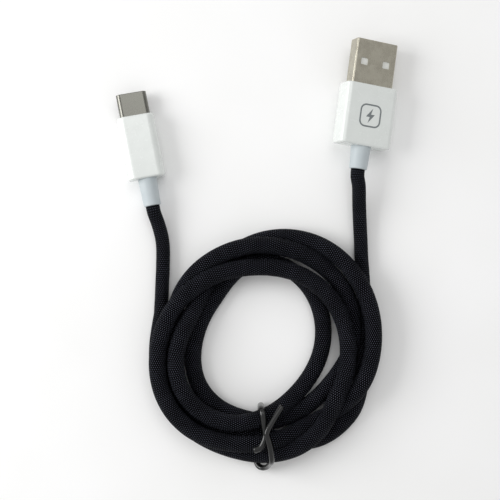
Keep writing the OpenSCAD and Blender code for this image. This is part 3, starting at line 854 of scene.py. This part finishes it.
def material_set():
    """One material for each slot of the record."""
    return {
        # Polished mould: a clean glossy white with soft, wide highlights
        "housing_plastic": moulded("white_polycarbonate", "#e6eae7", "#e2e6e3", 0.25, 0.25, 0.003,
                                   0.35, 1.58),
        # Softer, matt and a little blue next to the housing
        "relief_plastic": moulded("grey_tpe", "#bfc7ca", "#b9c2c6", 0.5, 0.12, 0.006),
        # Drawn and nickel plated: warm grey with lines along the draw. The USB-C copy has the same
        # plating but is painted far darker, as painted shade.
        "shell_steel_a": plated("nickel_plated_steel_a", "#c3bfb0", "#b0ab9d", 0.27, USB_A["lean"]),
        # USB-C shell: the plating's colour is darkened to a grey that no plated metal has, as
        # painted shade
        "shell_steel_c": plated("nickel_plated_steel_c_painted_shade", "#7c7b75", "#70706a", 0.27, USB_C["lean"]),
        # Rolled spring steel: brighter than the shells, with the same fine lines
        "inner_steel": plated("bright_spring_steel", "#c4c2bc", "#aba9a2", 0.3, 0.0),
        # Filled polyester: a dull, slightly warm white
        "insulator_white": moulded("white_pbt", "#e9eae6", "#dfe0da", 0.45, 0.15, 0.004),
        # Liquid-crystal polymer: matt charcoal, not a full black
        "insulator_black": moulded("black_lcp", "#1c1d1f", "#131416", 0.5, 0.12, 0.005),
        # Thin gold over bronze: warm yellow and bright
        "contact_gold": plated("gold_plated_bronze", "#e3bd6a", "#c99c47", 0.22, 0.0),
        # Undyed polyethylene: waxy cream
        "mould_natural": moulded("natural_polyethylene", "#ece7d6", "#ded8c4", 0.55, 0.3, 0.008),
        # Lacquer over copper: deep green, paler along its tracks
        "card_green": solder_mask("green_solder_mask"),
        # Glazed ceramic: near black with a soft shine
        "resistor_ceramic": moulded("black_glazed_ceramic", "#2a2a2c", "#1a1a1c", 0.35, 0.1, 0.004),
        # Extruded insulation: plain strong colours with a soft gloss
        "wire_red": moulded("red_pvc", "#b3201c", "#9c1714", 0.4, 0.1, 0.004),
        "wire_white": moulded("white_pvc", "#e6e6e2", "#d8d8d2", 0.4, 0.1, 0.004),
        "wire_green": moulded("green_pvc", "#1c7a3a", "#14662e", 0.4, 0.1, 0.004),
        "wire_black": moulded("black_pvc", "#1b1b1d", "#111113", 0.4, 0.1, 0.004),
        # Braided yarns: near black, speckled with painted highlights on the yarn crowns, with
        # painted shade between them
        "cord_braid": woven_nylon("black_woven_nylon"),
        # Sleeve inside the plug, where it can't be seen to be woven
        "cord_end": moulded("black_nylon_end", "#26272c", "#0d0e12", 0.6, 0.3, 0.02, cloud_mm=0.5),
        # Extruded coat: black and glossy, with long highlights
        "tie_plastic": moulded("glossy_black_pvc", "#0e0f0f", "#070808", 0.25, 0.4, 0.006,
                               0.2, 1.52),
        # Pad-printed ink: flat mid grey
        "mark_ink": moulded("grey_pad_ink", "#7d8384", "#747a7c", 0.5, 0.08, 0.002, cloud_mm=0.4),
    }


materials = material_set()


def paint(piece, key):
    piece.data.materials.clear()
    piece.data.materials.append(materials[key])


NODE_FINISH = {
    "usb_a_shell": "shell_steel_a", "usb_c_shell": "shell_steel_c",
    "usb_a_insulator": "insulator_white", "usb_c_insulator": "insulator_black",
    "contact": "contact_gold", "wire_vbus": "wire_red", "wire_data_minus": "wire_white",
    "wire_data_plus": "wire_green", "wire_ground": "wire_black", "crimp_ring": "inner_steel",
    "cable_end": "cord_end", "inner_mould": "mould_natural", "housing": "housing_plastic",
    "strain_relief": "relief_plastic", "mid_plate": "inner_steel", "latch": "inner_steel",
    "emi_spring": "inner_steel", "paddle_card": "card_green", "resistor": "resistor_ceramic",
    "rear_shield": "inner_steel", "cord_": "cord_end", "tie_coat": "tie_plastic",
    "tie_core": "inner_steel",
}


def paint_cad_nodes():
    """Gives every CAD node, the hidden ones too, the finish that its name calls for."""
    for node_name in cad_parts:
        key = next(finish for part, finish in NODE_FINISH.items() if part in node_name)
        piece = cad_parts[node_name]
        for slot in range(len(piece.material_slots)):
            piece.material_slots[slot].material = materials[key]


paint_cad_nodes()


# ---- the new pieces painted and put on their bodies, the leads left in the shared frame ----

def attach(piece, body, finish, slot_name, *replaced):
    paint(piece, finish)
    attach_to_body(piece, body)
    if replaced:
        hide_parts(*replaced)


attach(housing_a, "usb_a_plug", "housing_plastic", "housing_plastic", "usb_a_housing")
attach(relief_a, "usb_a_plug", "relief_plastic", "relief_plastic", "usb_a_strain_relief")
attach(shell_a, "usb_a_plug", "shell_steel_a", "shell_steel", "usb_a_shell")
attach(housing_c, "usb_c_plug", "housing_plastic", "housing_plastic", "usb_c_housing")
attach(relief_c, "usb_c_plug", "relief_plastic", "relief_plastic", "usb_c_strain_relief")
attach(shell_c, "usb_c_plug", "shell_steel_c", "shell_steel", "usb_c_shell")
for mark in mark_pieces:
    attach(mark, "usb_a_plug", "mark_ink", "mark_ink")
attach(tie, "coil", "tie_plastic", "tie_plastic", "twist_tie_coat")


def attach_cords():
    """The coil rides on its body, and each lead is painted and left fixed in the shared frame."""
    coil, coil_path, coil_length = cords["braided_coil"]
    attach(coil, "coil", "cord_braid", "cord_braid", "cord_coil")
    for name, body, replaced, bend_start, bend_end in (
        ("braided_lead_usb_c", "usb_c_plug", "cord_lead_usb_c", (-26.2, 0.0, 2), (-28.4, 11.9, 3)),
        ("braided_lead_usb_a", "usb_a_plug", "cord_lead_usb_a", (28.6, 1.0, 2), (27.4, 21.9, 5)),
    ):
        lead = cords[name][0]
        paint(lead, "cord_braid")
        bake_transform(lead)
        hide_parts(replaced)


attach_cords()


# ---- studio ----

def make_floor():
    """A wide table of pale matt card."""
    bpy.ops.object.select_all(action="DESELECT")
    bpy.ops.mesh.primitive_plane_add(size=6)
    floor = bpy.context.active_object
    floor.name = "table"
    made, tree, where = new_material("pale_card")
    cloud = add_node(tree, "ShaderNodeTexNoise", {
        "Vector": where, "Scale": per_mm(40), "Detail": 2.0, "Roughness": 0.5})
    tone = add_node(tree, "ShaderNodeValToRGB", {"Fac": cloud},
                    [(0.3, "#fbfbfa"), (0.7, "#ffffff")])
    finish_material(tree, {"Base Color": tone, "Roughness": 0.9})
    floor.data.materials.append(made)


def area_light(name, place_mm, size_mm, power, colour):
    """A soft box that faces the middle of the cable."""
    light = bpy.data.lights.new(name, "AREA")
    light.shape = "SQUARE"
    light.size = size_mm * MM
    light.energy = power
    light.color = linear(colour)[:3]
    holder = bpy.data.objects.new(name, light)
    holder.location = Vector(place_mm) * MM
    aim = Vector((0, 0, 0)) - holder.location
    holder.rotation_euler = aim.to_track_quat("-Z", "Y").to_euler()
    bpy.context.scene.collection.objects.link(holder)


SKY_STRENGTH = 0.56
BOX_SIZE = 300          # side of each soft box


def make_studio():
    """Even white light from all round, stronger from the left, shown without a film curve."""
    bpy.context.scene.view_settings.view_transform = "Standard"
    world = bpy.data.worlds.new("studio")
    world.use_nodes = True
    back = world.node_tree.nodes["Background"]
    back.inputs["Color"].default_value = linear("#ffffff")
    back.inputs["Strength"].default_value = SKY_STRENGTH
    bpy.context.scene.world = world
    area_light("left_box", (-420, 60, 260), BOX_SIZE, 1.5, "#ffffff")
    area_light("top_box", (60, 250, 520), BOX_SIZE, 0.5, "#ffffff")


make_floor()
make_studio()
